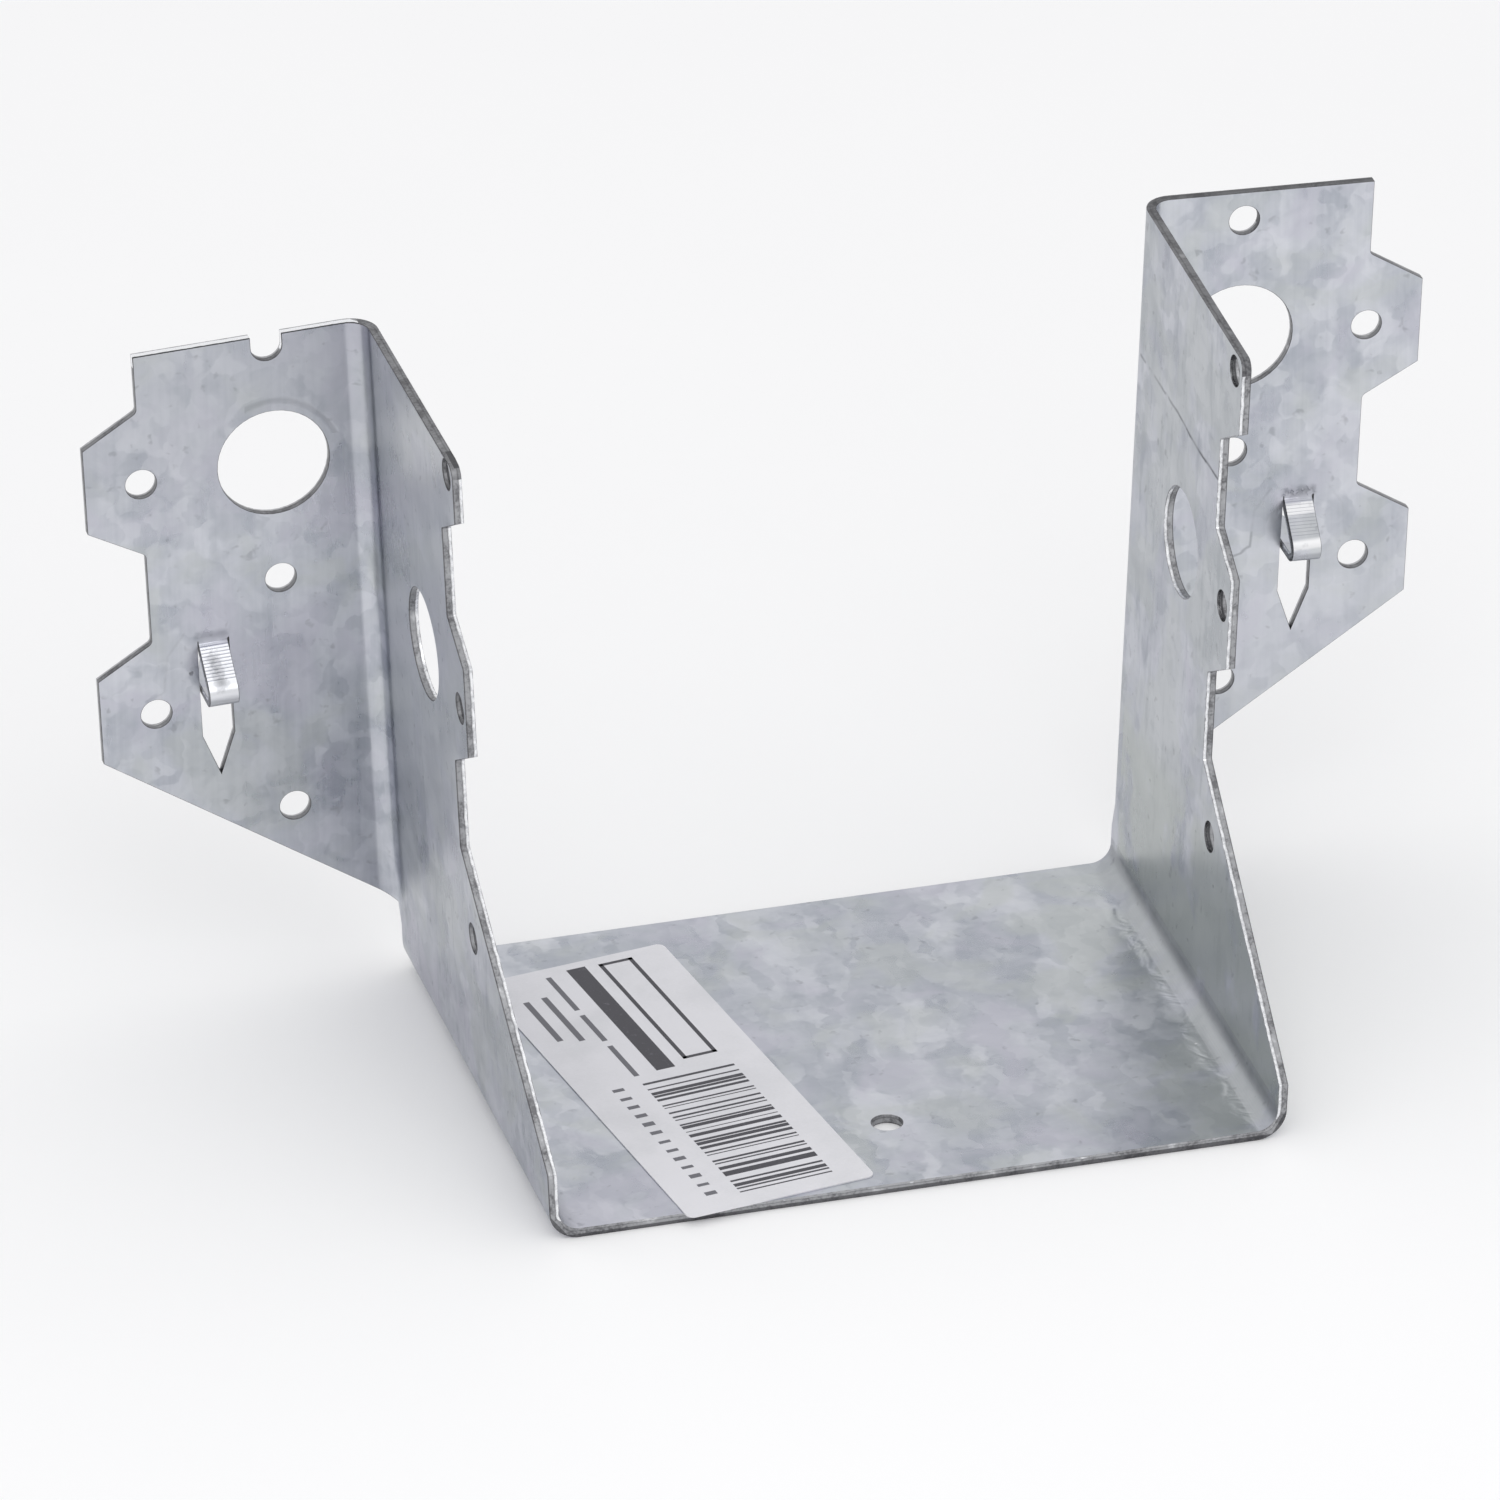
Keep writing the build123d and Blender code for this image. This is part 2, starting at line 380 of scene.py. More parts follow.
class ProngMarks:
    # what the lancing tool left on and round both prongs, with painted shade in the dents over their roots
    def __init__(self, board, at, patches):
        root = hangerPoint(1, sheet["thick"] + sheet["prongColumn"], 0, sheet["prongRoot"])
        # patches that break the right prong's painted root highlight and deepen the painted shade in its dent
        self.sparks = board.rise(board.noise(at.place, 0.0009, 2.0, 0.5), 0.46, 0.58)
        fromProng = at.across - root[0]
        front, back = wear["prongReach"]
        self.onProng = (abs(fromProng) < wear["prongHalf"]) * (at.y < back) * (at.y > front)
        self.onProng = self.onProng * (at.z > wear["prongFoot"])
        # the tool's outline is plain on the side towards the left, and on the right flange
        fromLeft = at.onRight * fromProng - at.onLeft * fromProng
        share = ((fromLeft < 0) * 0.8 + 0.2) * (at.onRight * 0.7 + 0.3)
        outline = nearPath(abs(fromProng), at.z + (patches - 0.5) * 0.0016, wear["toolOutline"])
        outline = 1 - board.rise(outline, 0.0, wear["toolWidth"])
        self.outline = outline * at.onFlange * board.rise(patches, 0.36, 0.54) * share
        # the dent over each root: its darker band is painted shade, heavier in patches over the right prong
        reach, height = wear["dentReach"], root[2] + 0.0004
        overRoot = nearLine(fromProng, at.z, (-reach, height), (reach, height))
        dent = 1 - board.rise(overRoot + (patches - 0.5) * 0.0012, 0.0, wear["dentWidth"])
        self.dent = dent * at.onFlange * (1 + at.onRight * self.sparks * 1.2)
        blot = board.noise(at.place, 0.0011, 4.0, 0.7)
        smudge = nearLine(at.x, at.z, *wear["smudge"]) + (blot - 0.5) * 0.0030
        smudge = 1 - board.rise(smudge, *wear["smudgeReach"])
        self.smudge = smudge * (board.rise(blot, 0.40, 0.60) * 0.45 + 0.55) * self.onProng

    def coloured(self, board, at, colour):
        # stretched metal is bright, and the left prong lighter still, which is painted light; painted shade
        # under the knuckles and on the right prong's face; bands of painted highlight at the right prong's
        # root and over its knuckle
        under = board.rise(at.z, *wear["knuckleUnder"])
        colour = board.blend(colour, zinc["stretched"], self.onProng * (at.onLeft * 0.45 + 0.25))
        colour = board.blend(colour, zinc["dull"], self.onProng * under * 0.50)
        onRight = self.onProng * at.onRight
        colour = board.blend(colour, zinc["dull"], onRight * board.rise(at.z, *wear["dullFace"]) * 0.30)
        rising, falling = wear["rootBand"]
        rootBand = board.rise(at.z, *rising) * larger(board.rise(at.z, *falling), self.sparks)
        bands = smaller(rootBand + board.band(at.z, *wear["knuckleBand"]), 1.0)
        return board.blend(colour, zinc["glint"], onRight * bands * 0.85)


def hueOf(board, at):
    # violet and green patches, and a painted reflection tint: greener where the sheet mirrors itself, by the
    # right wall and up the left one
    hue = board.noise(at.place, zinc["hueSize"], 3.0, 0.55, 0.6)
    hue = hue - board.rise(at.x, 0.015, 0.044) * (at.y < zones["bendMiddle"]) * 0.10
    hue = hue - (at.x < -zones["wallFrom"]) * at.beforeBend * board.rise(at.z, 0.010, 0.040) * 0.12
    paintedMirrorTint = board.rise(at.x, 0.020, 0.040) * at.beforeBend * board.rise(at.z, 0.027, 0.021)
    paintedMirrorTint = paintedMirrorTint * (at.aboveFoot * 0.5 + 0.3)
    return hue - paintedMirrorTint * 0.08, paintedMirrorTint


def zincFinish():
    board = Board("galvanisedZinc")
    at = SheetPlaces(board)
    cloud = board.noise(at.place, zinc["cloudSize"], 4.0, 0.55, 0.7)
    patches = board.noise(at.place, zinc["cloudSize"] * 0.36, 3.0, 0.6, 0.5)
    grain = board.noise(at.place, zinc["grainSize"], 3.0, 0.6)
    flake = flakesOn(board, at.place)
    rub, streaks = rollingLines(board, at)
    pits, glints = pitsOn(board, at.place)
    specks = board.rise(board.noise(at.place, zinc["speckSize"], 2.0, 0.5, 0.3), 0.64, 0.78)
    scratch, ring = scratchOn(board, at, patches), ringOn(board, at, patches)
    prong = ProngMarks(board, at, patches)
    # along the seat's folds: painted shade over a rougher coating, with a dark painted line of shade where
    # the wall begins
    onFold = board.band(at.across + (patches - 0.5) * 0.0030, *zones["foldBand"])
    onFold = onFold * (at.z < zones["foldTop"]) * (at.z > zones["foldUnder"])
    lineInner, lineOuter = zones["foldLine"]
    foldLine = 1 - board.rise(abs(at.z - zones["foldLineUp"] + (patches - 0.5) * 0.0010), 0.0002, 0.0010)
    foldLine = foldLine * (at.across > lineInner) * (at.across < lineOuter) * (at.z > zones["foldLineFoot"])
    # colour
    tone = (cloud - 0.5) * 0.80 + (patches - 0.5) * 1.05 + (flake - 0.5) * 0.95
    tone = tone + (rub - 0.5) * 0.7 - streaks * 0.30
    colour = board.blend(zinc["dark"], zinc["light"], board.rise(tone + 0.5, -0.30, 1.30))
    hue, paintedMirrorTint = hueOf(board, at)
    greenShare = board.rise(hue, 0.50, 0.36) * zinc["tintShare"] * (paintedMirrorTint + 0.7)
    colour = board.blend(colour, zinc["violet"], board.rise(hue, 0.50, 0.66) * zinc["tintShare"])
    colour = board.blend(colour, zinc["green"], greenShare)
    # painted shade along the seat's folds
    colour = board.blend(colour, zinc["dull"], onFold * 0.36)
    colour = prong.coloured(board, at, colour)
    # painted light on the left wall's upper part, and painted shade high on the left flange and its fold
    upLeft = at.onLeft * board.rise(at.z, 0.020, 0.050)
    topLeft = (at.y > zones["bendFront"]) * upLeft * board.rise(at.z, 0.055, 0.080)
    colour = board.blend(colour, zinc["stretched"], at.onWall * at.beforeBend * upLeft * 0.45)
    colour = board.blend(colour, zinc["dull"], topLeft * 0.30)
    # the right flange is lighter at its foot
    footRight = at.onFlange * at.onRight * board.rise(at.z, 0.046, 0.034)
    colour = board.blend(colour, zinc["light"], footRight * 0.35)
    marks = {"pit": pits, "speck": specks, "scratch": scratch, "outline": prong.outline, "dent": prong.dent,
             "smudge": prong.smudge, "ring": ring, "foldLine": foldLine}
    # stains, pits and marks, and the painted shade of the dents and the fold line, darken the colour
    stain = smaller(sum((mark * stainsAndShade[name] for name, mark in marks.items()), 0.0), 1.0)
    colour = board.blend(colour, zinc["stain"], stain)
    # painted glints on a few of the pits
    colour = board.blend(colour, zinc["glint"], glints * 0.8)
    # gloss and relief
    rough = (cloud - 0.5) * zinc["roughSpread"] + (flake - 0.5) * 0.06 + (rub - 0.5) * 0.12 + zinc["rough"]
    rough = rough + stain * 0.15 + streaks * 0.04 + onFold * 0.10
    swell = board.rise(at.across + (patches - 0.5) * 0.0040, *zones["swell"]) * (at.z < zones["foldTop"])
    raised = {"wave": board.noise(at.place, 0.020, 2.0, 0.45), "flake": cloud, "rub": rub, "grain": grain,
              "swell": swell}
    height = sum((mark * relief[name] for name, mark in raised.items()), 0.0)
    sunk = sum((mark * relief[name] for name, mark in marks.items() if name in relief), 0.0)
    return board.finish({"Base Color": colour, "Metallic": 1.0, "Roughness": rough,
                         "Normal": board.relief(height - sunk, 1e-6), "Specular Tint": zinc["grazing"]})


# Sheared edges: the bevel in millimetres, the places in metres
edge = {
    "bevel": 0.07,
    "narrow": 0.2,
    # the walls' nail holes: their place back, their heights and their reach
    "nailPlace": -0.0033,
    "nailRows": (0.0247, 0.0565, 0.0883),
    "nailReach": 0.0021,
    # heights over which an edge is a flange's or a wall's top edge, and how far out the walls' tops reach
    "flangeTop": 0.0870,
    "wallTop": 0.0889,
    "wallOut": 0.0505,
    "seatTop": 0.0026,
    "burnishShare": 0.36,
    # the white of the painted glints on the burnish and the torn zone, and of the painted highlight on the
    # left flange's top edge
    "burnished": (0.90, 0.91, 0.93, 1),
    "burnishedDull": (0.62, 0.63, 0.655, 1),
    "torn": (0.40, 0.405, 0.42, 1),
    "tornDark": (0.18, 0.18, 0.19, 1),
    "black": (0.05, 0.05, 0.055, 1),
}


def edgeFinish():
    # a sheared edge: burnished where the punch went in, torn over the rest
    board = Board("shearedEdge")
    at = SheetPlaces(board)
    through = board.add("Attribute", {"attribute_name": "through"})["Fac"]
    waver = board.noise(at.place, 0.0014, 3.0, 0.6)
    depth = through + (waver - 0.5) * 0.24
    share = edge["burnishShare"]
    burnish = board.band(depth, (0.02, 0.08), (share + 0.05, share - 0.05))
    # how much of the burnish shows is painted light, set place by place: faint along the seat, with sparse
    # painted glints, and on the flanges; the top edges differ, a painted highlight across the left flange's
    # and painted shade on the right flange's and the walls'
    # sparkle: painted glints along the burnish and on the torn zone
    sparkle = board.rise(board.noise(at.place, 0.0008, 3.0, 0.65), 0.34, 0.60)
    chipsAndGlints = board.rise(board.noise(at.place, 0.0030, 3.0, 0.6), 0.60, 0.68)
    faint = (at.z < edge["seatTop"]) * (0.88 - chipsAndGlints * 0.88) + at.onFlange * 0.60
    onTop = (at.z > edge["flangeTop"]) * (at.across > edge["wallOut"]) * (at.y > zones["bendMiddle"])
    topLeft, topRight = onTop * at.onLeft, onTop * at.onRight
    topWall = (at.z > edge["wallTop"]) * (at.across < edge["wallOut"])
    inBand = board.band(depth, (0.15, 0.22), (0.86, 0.78))
    burnish = larger(burnish * (1 - faint) * (1 - larger(topRight, topWall)), topLeft * inBand)
    speckle = board.noise(at.place, 0.00042, 3.0, 0.65)
    broad = board.noise(at.place, 0.0034, 3.0, 0.6)
    torn = board.blend(edge["tornDark"], edge["torn"], board.rise(speckle + (broad - 0.5) * 1.1, 0.22, 0.62))
    # painted glints on the torn zone
    torn = board.blend(torn, edge["burnished"], board.rise(broad, 0.60, 0.72) * sparkle * 0.5)
    # dark where the burnish ends and the tear begins and at the burr; painted shade inside the nail holes and
    # on the flanges' edges, their holes among them
    seam = 1 - board.rise(abs(depth - share), 0.03, 0.12)
    burr = board.rise(through, 0.84, 0.95) * 0.70
    gaps = board.rise(board.noise(at.place, 0.0029, 3.0, 0.6, 0.8), 0.62, 0.70) * 0.45
    inRows = sum((abs(at.z - row) < edge["nailReach"] for row in edge["nailRows"]), 0.0)
    inNailHole = (abs(at.y - edge["nailPlace"]) < edge["nailReach"]) * (depth < 0.6) * 0.75 * inRows
    # painted shade on the right flange's top edge and on the walls' tops, darker on the right wall
    dark = larger(topRight * 0.68, topWall * (0.36 + at.onRight * 0.16 + chipsAndGlints * 0.30))
    torn = board.blend(torn, edge["black"], larger(larger(burr, dark), larger(gaps, at.onFlange * 0.42)))
    # painted shade at the rims of the left flange's top edge
    torn = board.blend(torn, edge["black"], topLeft * 0.80)
    bright = board.blend(edge["burnishedDull"], edge["burnished"], larger(sparkle, topLeft))
    shade = larger(seam * (1 - topLeft) * 0.40, inNailHole)
    colour = board.blend(board.blend(torn, bright, burnish), edge["black"], shade)
    rough = 0.46 - burnish * 0.20 + (speckle - 0.5) * 0.2
    normal = board.relief(speckle * (1 - burnish) * 30 + waver * 22, 1e-6)
    return board.finish({"Base Color": colour, "Metallic": 1.0, "Roughness": rough, "Normal": normal})


# Label and its print
paper = {"white": (0.74, 0.735, 0.77, 1), "shade": (0.67, 0.67, 0.70, 1), "rough": 0.33}
ink = {"full": (0.035, 0.033, 0.045, 1), "worn": (0.14, 0.135, 0.16, 1), "grey": (0.12, 0.12, 0.14, 1)}


def paperFinish():
    board = Board("labelPaper")
    place = board.place()
    fibre = board.noise(place, 0.0004, 3.0, 0.6)
    cloud = board.noise(place, 0.011, 3.0, 0.55, 0.4)
    colour = board.blend(paper["shade"], paper["white"], board.rise(cloud + (fibre - 0.5) * 0.3, 0.25, 0.65))
    rough = paper["rough"] + (fibre - 0.5) * 0.12 + (cloud - 0.5) * 0.10
    height = board.relief(board.noise(place, 0.009, 2.0, 0.5), 0.00005)
    height = board.relief(fibre, 0.000003, height)
    return board.finish({"Base Color": colour, "Roughness": rough, "Normal": height})


def inkFinish(title, shade):
    board = Board(title)
    place = board.place()
    wornNoise = board.noise(place, 0.0009, 4.0, 0.65)
    colour = board.blend(shade, ink["worn"], board.rise(wornNoise, 0.56, 0.86))
    return board.finish({"Base Color": colour, "Roughness": 0.42 + (wornNoise - 0.5) * 0.15,
                         "Normal": board.relief(wornNoise, 0.000004)})


def addPiece(title, mesh):
    piece = bpy.data.objects.new(title, mesh)
    scene.collection.objects.link(piece)
    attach(piece, "root")
    return piece


print("finishes")
zincSkin = zincFinish()
cutEdge = edgeFinish()
labelPaper = paperFinish()
darkInk = inkFinish("labelInk", ink["full"])
greyInk = inkFinish("labelGreyInk", ink["grey"])

print("sheet")


def skinFrom(start):
    # all faces of one side of the sheet, followed over its folds
    found = {start}
    todo = [start]
    while todo:
        face = todo.pop()
        for border in face.edges:
            if len(border.link_faces) == 2 and border.calc_face_angle() < radians(25):
                for other in border.link_faces:
                    if other not in found:
                        found.add(other)
                        todo.append(other)
    return found


def skinTree(skin):
    # one side of the sheet, to measure how deep a point of a cut edge lies
    corners, faces = [], []
    for face in skin:
        faces.append([len(corners) + step for step in range(len(face.verts))])
        corners.extend(corner.co.copy() for corner in face.verts)
    return BVHTree.FromPolygons(corners, faces)


def foldsOfSheet():
    # each fold: a point on its axis, the axis, the directions of its two ends, and its start along the axis
    lean = radians(sheet["splay"])
    inside, thick = sheet["bendInside"], sheet["thick"]
    folds = []
    for side in (1, -1):
        out = Vector((side * cos(lean), 0, -sin(lean)))
        up = Vector((side * sin(lean), 0, cos(lean)))
        level = hangerPoint(side, -inside, 0, 0)
        level -= up * ((level.z - (inside + thick) * mm) / up.z)
        folds.append((level, Vector((0, 1, 0)), Vector((0, 0, -1)), out, -1.0))
        corner = hangerPoint(side, inside + thick, inside, 0)
        folds.append((corner, up, -out, Vector((0, 1, 0)), sheet["foldStart"] * mm))
    return folds


def roundFolds(shell):
    # cuts the folds' facets finer and sets them on the true radius
    inside, outside = sheet["bendInside"] * mm, (sheet["bendInside"] + sheet["thick"]) * mm
    for middle, axis, start, end, low in foldsOfSheet():
        across = (end - start * end.dot(start)).normalized()
        turn = atan2(end.dot(across), end.dot(start))

        def placeOf(corner):
            off = corner.co - middle
            flat = off - axis * off.dot(axis)
            return atan2(flat.dot(across), flat.dot(start)), flat, off.dot(axis)

        def within(corner, spare):
            angle, flat, along = placeOf(corner)
            near = min(abs(flat.length - inside), abs(flat.length - outside)) < 0.3 * mm
            return near and along > low - 0.01 * mm and spare < angle < turn - spare

        for step in range(1, sheet["foldFacets"]):
            angle = turn * step / sheet["foldFacets"]
            near = [face for face in shell.faces if any(within(corner, -0.02) for corner in face.verts)]
            borders = {border for face in near for border in face.edges}
            corners = {corner for face in near for corner in face.verts}
            bmesh.ops.bisect_plane(shell, geom=[*corners, *borders, *near], dist=1e-7, plane_co=middle,
                                   plane_no=across * cos(angle) - start * sin(angle))
        shell.normal_update()
        for corner in shell.verts:
            flat = placeOf(corner)[1]
            onSkin = any(abs(face.normal.dot(flat)) > 0.9 * flat.length for face in corner.link_faces)
            if onSkin and within(corner, 0.01):
                radius = inside if abs(flat.length - inside) < abs(flat.length - outside) else outside
                corner.co += flat * (radius / flat.length - 1)


def markSkins(shell):
    # zinc on the sheet's two sides, the other finish on its cut edges; gives back both sides
    low = [face for face in shell.faces if face.calc_center_median().z < 2 * mm]
    seatTop = max((face for face in low if face.normal.z > 0.999), key=lambda face: face.calc_area())
    seatUnder = max((face for face in low if face.normal.z < -0.999), key=lambda face: face.calc_area())
    inner, outer = skinFrom(seatTop), skinFrom(seatUnder)
    print("  skins", len(inner), len(outer), "edges", len(shell.faces) - len(inner) - len(outer))
    for face in shell.faces:
        face.material_index = 0 if face in inner or face in outer else 1
    return skinTree(inner), skinTree(outer)


def bevelEdges(shell):
    # every edge is bevelled but those of the narrow ledges beside the prongs' roots
    sharp = {border for border in shell.edges
             if len(border.link_faces) == 2 and border.calc_face_angle() > radians(25)}
    narrow = {border for border in sharp if border.calc_length() < edge["narrow"] * mm
              and all(len(sharp.intersection(corner.link_edges)) > 2 for corner in border.verts)}
    for border in shell.edges:
        border.smooth = border not in narrow
    bevelled = [border for border in shell.edges if border in sharp and border not in narrow]
    bmesh.ops.bevel(shell, geom=bevelled, offset=edge["bevel"] * mm, offset_type="OFFSET", segments=2,
                    profile=0.55, affect="EDGES", clamp_overlap=False, material=1)
    print("  bevelled", len(bevelled), "left sharp", len(narrow))


def buildSheet():
    mesh = bpy.data.meshes.new("hangerSheet")
    mesh.materials.append(zincSkin)
    mesh.materials.append(cutEdge)
    shell = bmesh.new()
    shell.from_mesh(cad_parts["hanger"].data)
    bmesh.ops.remove_doubles(shell, verts=shell.verts, dist=0.002 * mm)
    roundFolds(shell)
    bmesh.ops.dissolve_limit(shell, angle_limit=radians(0.3), verts=shell.verts, edges=shell.edges)
    nearInner, nearOuter = markSkins(shell)
    bevelEdges(shell)
    # how deep a corner lies in the sheet: 0 on its inner side, 1 on its outer side
    through = shell.verts.layers.float.new("through")
    for corner in shell.verts:
        fromInner = nearInner.find_nearest(corner.co)[3]
        corner[through] = fromInner / (fromInner + nearOuter.find_nearest(corner.co)[3])
    for face in shell.faces:
        face.smooth = True
    shell.to_mesh(mesh)
    shell.free()
    if "custom_normal" in mesh.attributes:
        mesh.attributes.remove(mesh.attributes["custom_normal"])
    draft = bpy.data.objects.new("draft", mesh)
    scene.collection.objects.link(draft)
    weighted = draft.modifiers.new("weighted", "WEIGHTED_NORMAL")
    weighted.keep_sharp = True
    return plainMesh(draft, "hangerSheet")


def plainMesh(draft, title):
    # the evaluated draft as a mesh of its own; the draft goes
    mesh = bpy.data.meshes.new_from_object(draft.evaluated_get(bpy.context.evaluated_depsgraph_get()))
    mesh.name = title
    bpy.data.objects.remove(draft)
    return mesh


sheetPiece = addPiece("hangerSheet", buildSheet())
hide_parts("hanger")

print("rows of fields and ribs")


class Flow:
    # a Geometry Nodes tree with named inputs: copies of one shape down a line, with a pitch
    def __init__(self, title, inputs):
        self.tree = bpy.data.node_groups.new(title, "GeometryNodeTree")
        self.tree.interface.new_socket("Geometry", in_out="OUTPUT", socket_type="NodeSocketGeometry")
        for name, kind in inputs.items():
            self.tree.interface.new_socket(name, in_out="INPUT", socket_type="NodeSocket" + kind)
        self.given = self.tree.nodes.new("NodeGroupInput").outputs
        self.result = self.tree.nodes.new("NodeGroupOutput")

    def add(self, kind, settings=None, sockets=None):
        node = self.tree.nodes.new(kind)
        for key, value in (settings or {}).items():
            setattr(node, key, value)
        for key, value in (sockets or {}).items():
            socket = node.inputs[key]
            if isinstance(value, bpy.types.NodeSocket):
                self.tree.links.new(value, socket)
            else:
                socket.default_value = value
        return node

    def line(self):
        # points along Y, as many as Count and as far apart as Pitch
        step = self.add("ShaderNodeCombineXYZ", None, {"Y": self.given["Pitch"]})
        line = self.add("GeometryNodeMeshLine", None,
                        {"Count": self.given["Count"], "Offset": step.outputs[0]})
        return line.outputs[0]

    def spread(self, sockets):
        # the copies become plain faces with the finish that was given
        copies = self.add("GeometryNodeInstanceOnPoints", None, sockets)
        real = self.add("GeometryNodeRealizeInstances", None, {"Geometry": copies.outputs[0]})
        done = self.add("GeometryNodeSetMaterial", None,
                        {"Geometry": real.outputs[0], "Material": self.given["Finish"]})
        self.tree.links.new(done.outputs[0], self.result.inputs[0])

    def run(self, title, values):
        draft = bpy.data.objects.new("draft", bpy.data.meshes.new("draft"))
        scene.collection.objects.link(draft)
        modifier = draft.modifiers.new("flow", "NODES")
        modifier.node_group = self.tree
        for item in self.tree.interface.items_tree:
            if item.item_type == "SOCKET" and item.in_out == "INPUT":
                modifier[item.identifier] = values[item.name]
        return plainMesh(draft, title)


def fieldRow():
    # thin printed bars side by side along Y, of seeded widths and gaps
    flow = Flow("fieldRow", {"Count": "Int", "Pitch": "Float", "Length": "Float", "Thin": "Float",
                             "Wide": "Float", "Shift": "Float", "Thick": "Float", "GapSeed": "Int",
                             "WidthSeed": "Int", "Finish": "Material"})
    given = flow.given
    line = flow.line()
    back = flow.add("ShaderNodeMath", {"operation": "MULTIPLY"}, {0: given["Shift"], 1: -1.0})
    jog = flow.add("FunctionNodeRandomValue", {"data_type": "FLOAT"},
                   {2: back.outputs[0], 3: given["Shift"], "Seed": given["GapSeed"]})
    jogStep = flow.add("ShaderNodeCombineXYZ", None, {"Y": jog.outputs[1]})
    moved = flow.add("GeometryNodeSetPosition", None, {"Geometry": line, "Offset": jogStep.outputs[0]})
    wide = flow.add("FunctionNodeRandomValue", {"data_type": "FLOAT"},
                    {2: given["Thin"], 3: given["Wide"], "Seed": given["WidthSeed"]})
    size = flow.add("ShaderNodeCombineXYZ", None,
                    {"X": given["Length"], "Y": wide.outputs[1], "Z": given["Thick"]})
    bar = flow.add("GeometryNodeMeshCube", None, {"Size": (1.0, 1.0, 1.0)})
    flow.spread({"Points": moved.outputs[0], "Instance": bar.outputs["Mesh"], "Scale": size.outputs[0]})
    return flow


def ribRow():
    # round ribs side by side down a strip
    flow = Flow("ribRow", {"Count": "Int", "Pitch": "Float", "Length": "Float", "Radius": "Float",
                           "Finish": "Material"})
    line = flow.line()
    rod = flow.add("GeometryNodeMeshCylinder", None,
                   {"Vertices": 10, "Radius": flow.given["Radius"], "Depth": flow.given["Length"]})
    laid = flow.add("GeometryNodeTransform", None,
                    {"Geometry": rod.outputs["Mesh"], "Rotation": (0.0, pi / 2, 0.0)})
    flow.spread({"Points": line, "Instance": laid.outputs[0]})
    return flow


# Label: its print is plain fields, placed from the label's middle, in millimetres
label = {
    "middle": (-21.95, -3.425),
    "turn": 8.7,
    "top": 1.35,
    "inkThick": 0.012,
    "stripes": {"start": (1.9, -28.7), "count": 28, "pitch": 1.06, "length": 12.2, "thin": 0.12, "wide": 0.72,
                "shift": 0.30, "seed": 7},
    "marks": {"start": (-7.5, -27.4), "count": 13, "pitch": 2.3, "length": 1.5, "thin": 0.55, "wide": 0.95,
              "shift": 0.12, "seed": 3},
    "bands": [
        # middle across, middle along, width, length, darkness
        (0.0, 16.5, 2.5, 27.5, "full"),
        (3.2, 17.0, 0.55, 26.0, "full"),
        (7.2, 17.0, 0.55, 26.0, "full"),
        (5.2, 4.27, 4.55, 0.55, "full"),
        (5.2, 29.73, 4.55, 0.55, "full"),
        (-4.0, 25.0, 0.7, 9.0, "grey"),
        (-4.0, 15.6, 0.7, 7.0, "grey"),
        (-4.0, 6.6, 0.7, 8.2, "grey"),
        (-6.5, 19.2, 0.8, 11.8, "grey"),
        (-9.0, 19.6, 0.8, 10.6, "grey"),
    ],
}


def ontoLabel(mesh, across, along):
    # from the label's own directions to its place on the seat
    turn = Matrix.Rotation(radians(label["turn"]), 4, "Z")
    start = Matrix.Translation(Vector((across, along, 0)) * mm)
    seatPlace = Vector((*label["middle"], label["top"] + label["inkThick"] / 2)) * mm
    mesh.transform(Matrix.Translation(seatPlace) @ turn @ start)
    return mesh


def printedRow(flow, title, values, finish):
    sizes = {"Count": values["count"], "Pitch": values["pitch"] * mm, "Length": values["length"] * mm,
             "Thin": values["thin"] * mm, "Wide": values["wide"] * mm, "Shift": values["shift"] * mm,
             "Thick": label["inkThick"] * mm, "GapSeed": values["seed"], "WidthSeed": values["seed"] + 1,
             "Finish": finish}
    return addPiece(title, ontoLabel(flow.run(title, sizes), *values["start"]))


def buildBands(darkness, finish):
    bands = bmesh.new()
    for across, along, width, length, shade in label["bands"]:
        if shade == darkness:
            size = Matrix.Diagonal((width * mm, length * mm, label["inkThick"] * mm, 1))
            middle = Matrix.Translation(Vector((across, along, 0)) * mm)
            bmesh.ops.create_cube(bands, size=1.0, matrix=middle @ size)
    mesh = bpy.data.meshes.new("labelBands")
    bands.to_mesh(mesh)
    bands.free()
    mesh.materials.append(finish)
    return ontoLabel(mesh, 0, 0)


fields = fieldRow()
printedRow(fields, "labelStripes", label["stripes"], darkInk)
printedRow(fields, "labelMarks", label["marks"], greyInk)
addPiece("labelBand", buildBands("full", darkInk))
addPiece("labelLines", buildBands("grey", greyInk))
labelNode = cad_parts["label"]
labelNode.data.materials.clear()
labelNode.data.materials.append(labelPaper)

# Ribs that the lancing tool presses across each prong's face
ribs = {"count": 11, "pitch": 0.45, "radius": 0.26, "fromRoot": 0.8, "side": 0.22,
        "proudRight": 0.025, "proudLeft": 0.050}


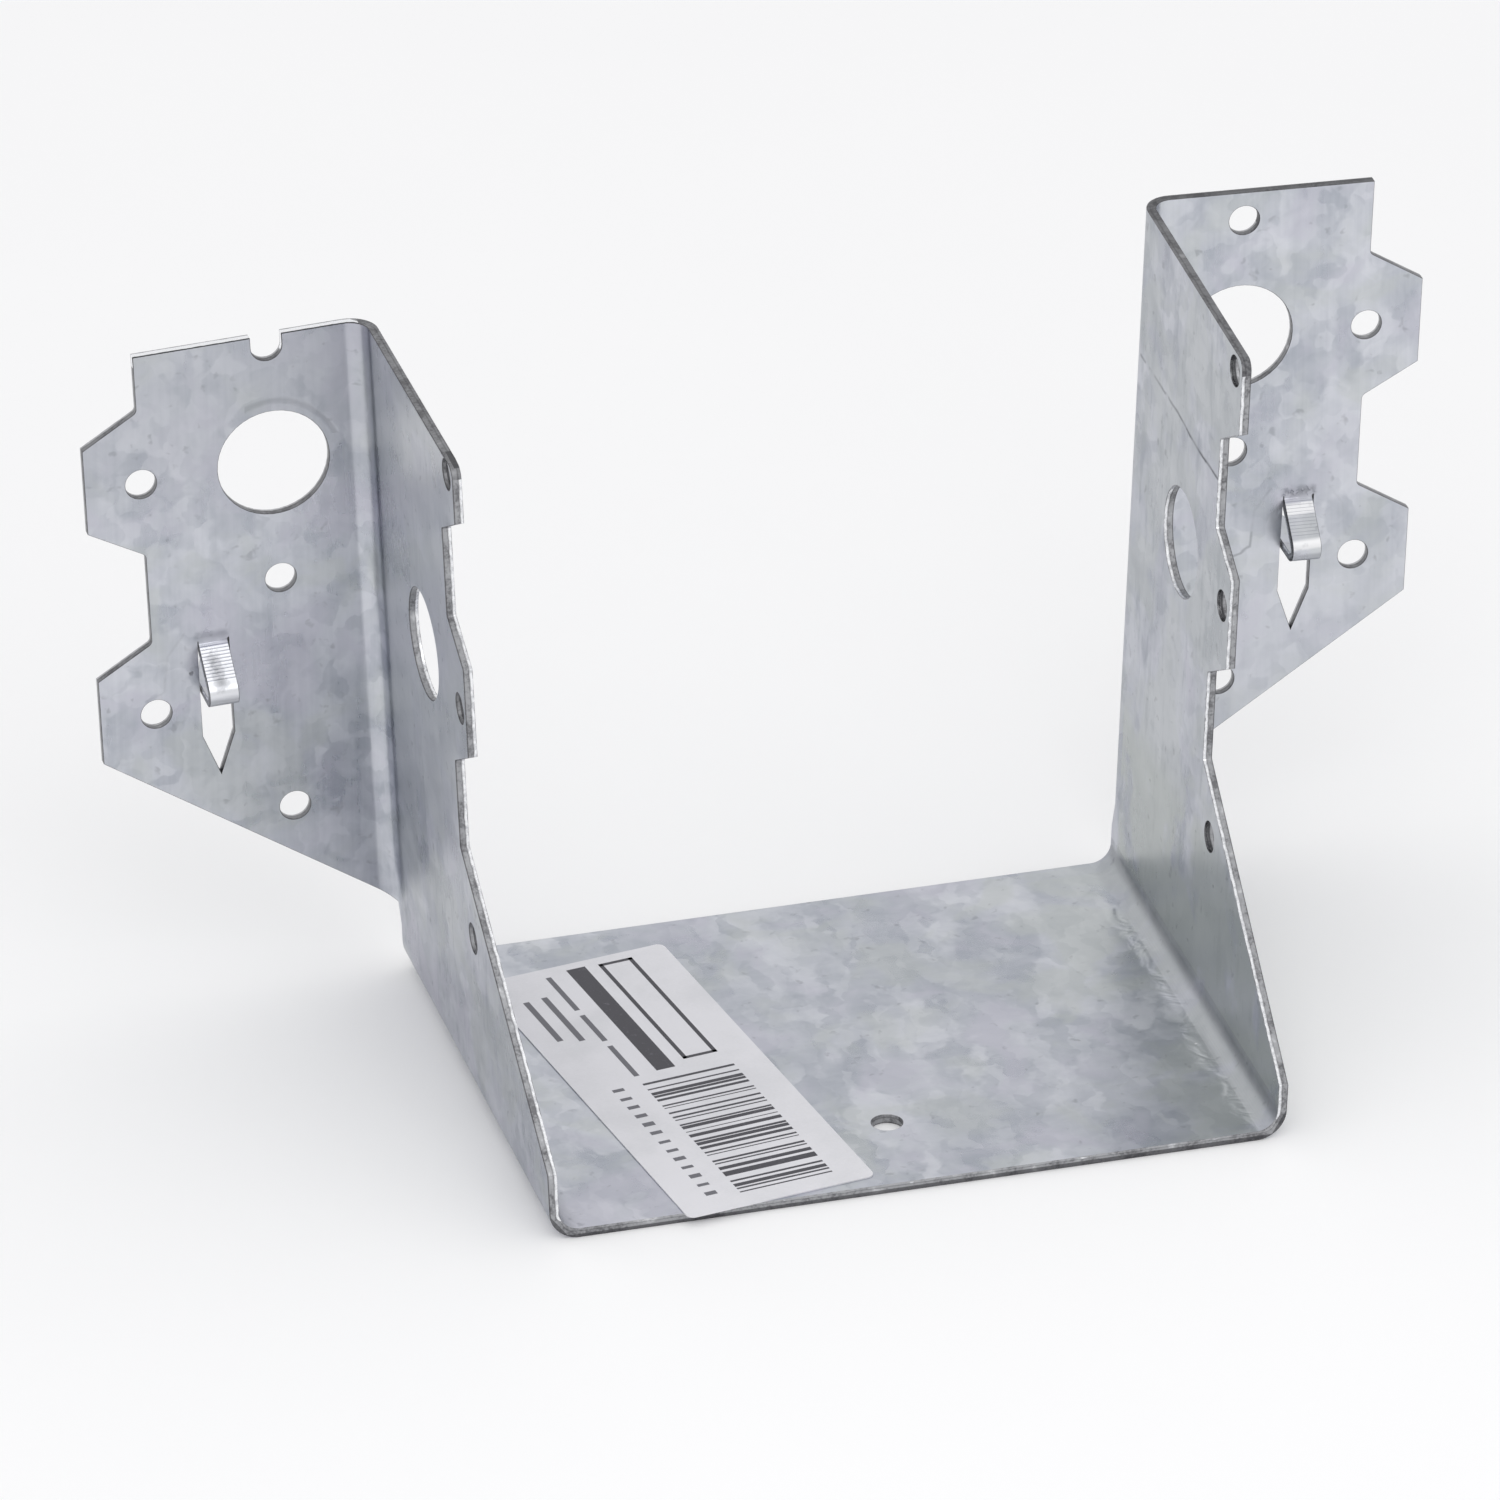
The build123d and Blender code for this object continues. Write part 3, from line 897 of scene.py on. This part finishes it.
def buildRibs(flow, side, proud):
    slope = radians(sheet["prongSlope"])
    halfWidth = sheet["slotWidth"] / 2 - ribs["side"]
    out = sheet["thick"] + sheet["prongColumn"]
    bendUp = sheet["prongRoot"] - sheet["rootLeg"]
    lift = sheet["thick"] / 2 + proud - ribs["radius"]

    def onSlope(run, above):
        ahead = -sheet["thick"] / 2 + run * sin(slope) + above * cos(slope)
        return hangerPoint(side, out, ahead, bendUp - run * cos(slope) + above * sin(slope))

    origin = onSlope(ribs["fromRoot"], lift)
    down = (onSlope(ribs["fromRoot"] + 1, lift) - origin).normalized()
    above = (onSlope(ribs["fromRoot"], lift + 1) - origin).normalized()
    across = down.cross(above)
    place = Matrix((across, down, above)).transposed().to_4x4()
    place.translation = origin
    mesh = flow.run("prongRibs", {"Count": ribs["count"], "Pitch": ribs["pitch"] * mm,
                                  "Length": halfWidth * 2 * mm, "Radius": ribs["radius"] * mm,
                                  "Finish": zincSkin})
    mesh.transform(place)
    return mesh


ribFlow = ribRow()
addPiece("prongRibsRight", buildRibs(ribFlow, 1, ribs["proudRight"]))
addPiece("prongRibsLeft", buildRibs(ribFlow, -1, ribs["proudLeft"]))

print("camera, floor and light")
# where the photographer stood, in metres, and how far the picture is rolled, in degrees
view = {
    "place": (-0.47097, -1.65687, 0.97408),
    "aim": (-0.01138, 0.0, 0.04358),
    "roll": -0.206,
    "lens": 387.38,
}
studio = {
    "horizon": (0.87, 0.87, 0.875, 1),
    "zenith": (0.94, 0.94, 0.945, 1),
    "floor": (0.97, 0.97, 0.973, 1),
    "floorShade": (0.955, 0.955, 0.96, 1),
    "floorDrop": 0.03,
    "floorReach": 4.0,
    "lampPlace": (-0.05, -0.42, 0.52),
    "lampAim": (0.0, 0.0, 0.03),
    "lampSize": 0.45,
    "lampPower": 0.62,
}


def aimed(title, data, place, aim, roll=0.0):
    # a camera or a lamp at its place, looking at its aim
    thing = bpy.data.objects.new(title, data)
    scene.collection.objects.link(thing)
    back = Vector(place) - Vector(aim)
    thing.matrix_world = (Matrix.Translation(place) @ back.to_track_quat("Z", "Y").to_matrix().to_4x4()
                          @ Matrix.Rotation(radians(roll), 4, "Z"))
    return thing


def setCamera():
    camera = aimed("camera", bpy.data.cameras.new("camera"), view["place"], view["aim"], view["roll"])
    camera.data.lens = view["lens"]
    camera.data.sensor_width = 36.0
    camera.data.clip_start = 0.01
    camera.data.clip_end = 20.0
    scene.camera = camera


def setStudio():
    reach = studio["floorReach"]
    board = Board("floor")
    place = board.place()
    mottle = board.noise(place, 0.05, 3.0, 0.5)
    shade = board.blend(studio["floor"], studio["floorShade"], mottle)
    cover = board.add("BsdfPrincipled", None, {"Base Color": shade, "Roughness": 0.9})
    under = board.add("NewGeometry")["Backfacing"]
    both = board.add("MixShader", None, {0: under, 1: cover, 2: board.add("BsdfTransparent")})
    board.add("OutputMaterial", None, {"Surface": both})
    mesh = bpy.data.meshes.new("floor")
    low = -studio["floorDrop"] * mm
    mesh.from_pydata([(-reach, -reach, low), (reach, -reach, low), (reach, reach, low), (-reach, reach, low)],
                     [], [(0, 1, 2, 3)])
    mesh.materials.append(board.material)
    floor = bpy.data.objects.new("floor", mesh)
    scene.collection.objects.link(floor)
    lamp = aimed("overhead", bpy.data.lights.new("overhead", "AREA"), studio["lampPlace"], studio["lampAim"])
    lamp.data.size = studio["lampSize"]
    lamp.data.energy = studio["lampPower"]
    world = bpy.data.worlds.new("studio")
    sky = Board("studio", world)
    height = sky.add("SeparateXYZ", None, {"Vector": sky.add("TexCoord")["Generated"]})["Z"]
    shade = sky.blend(studio["horizon"], studio["zenith"], smaller(larger(height, 0.0), 1.0))
    sky.add("OutputWorld", None, {"Surface": sky.add("Background", None, {"Color": shade})})
    scene.world = world


setCamera()
setStudio()
scene.view_settings.view_transform = "Standard"

bpy.context.view_layer.update()
print("done")
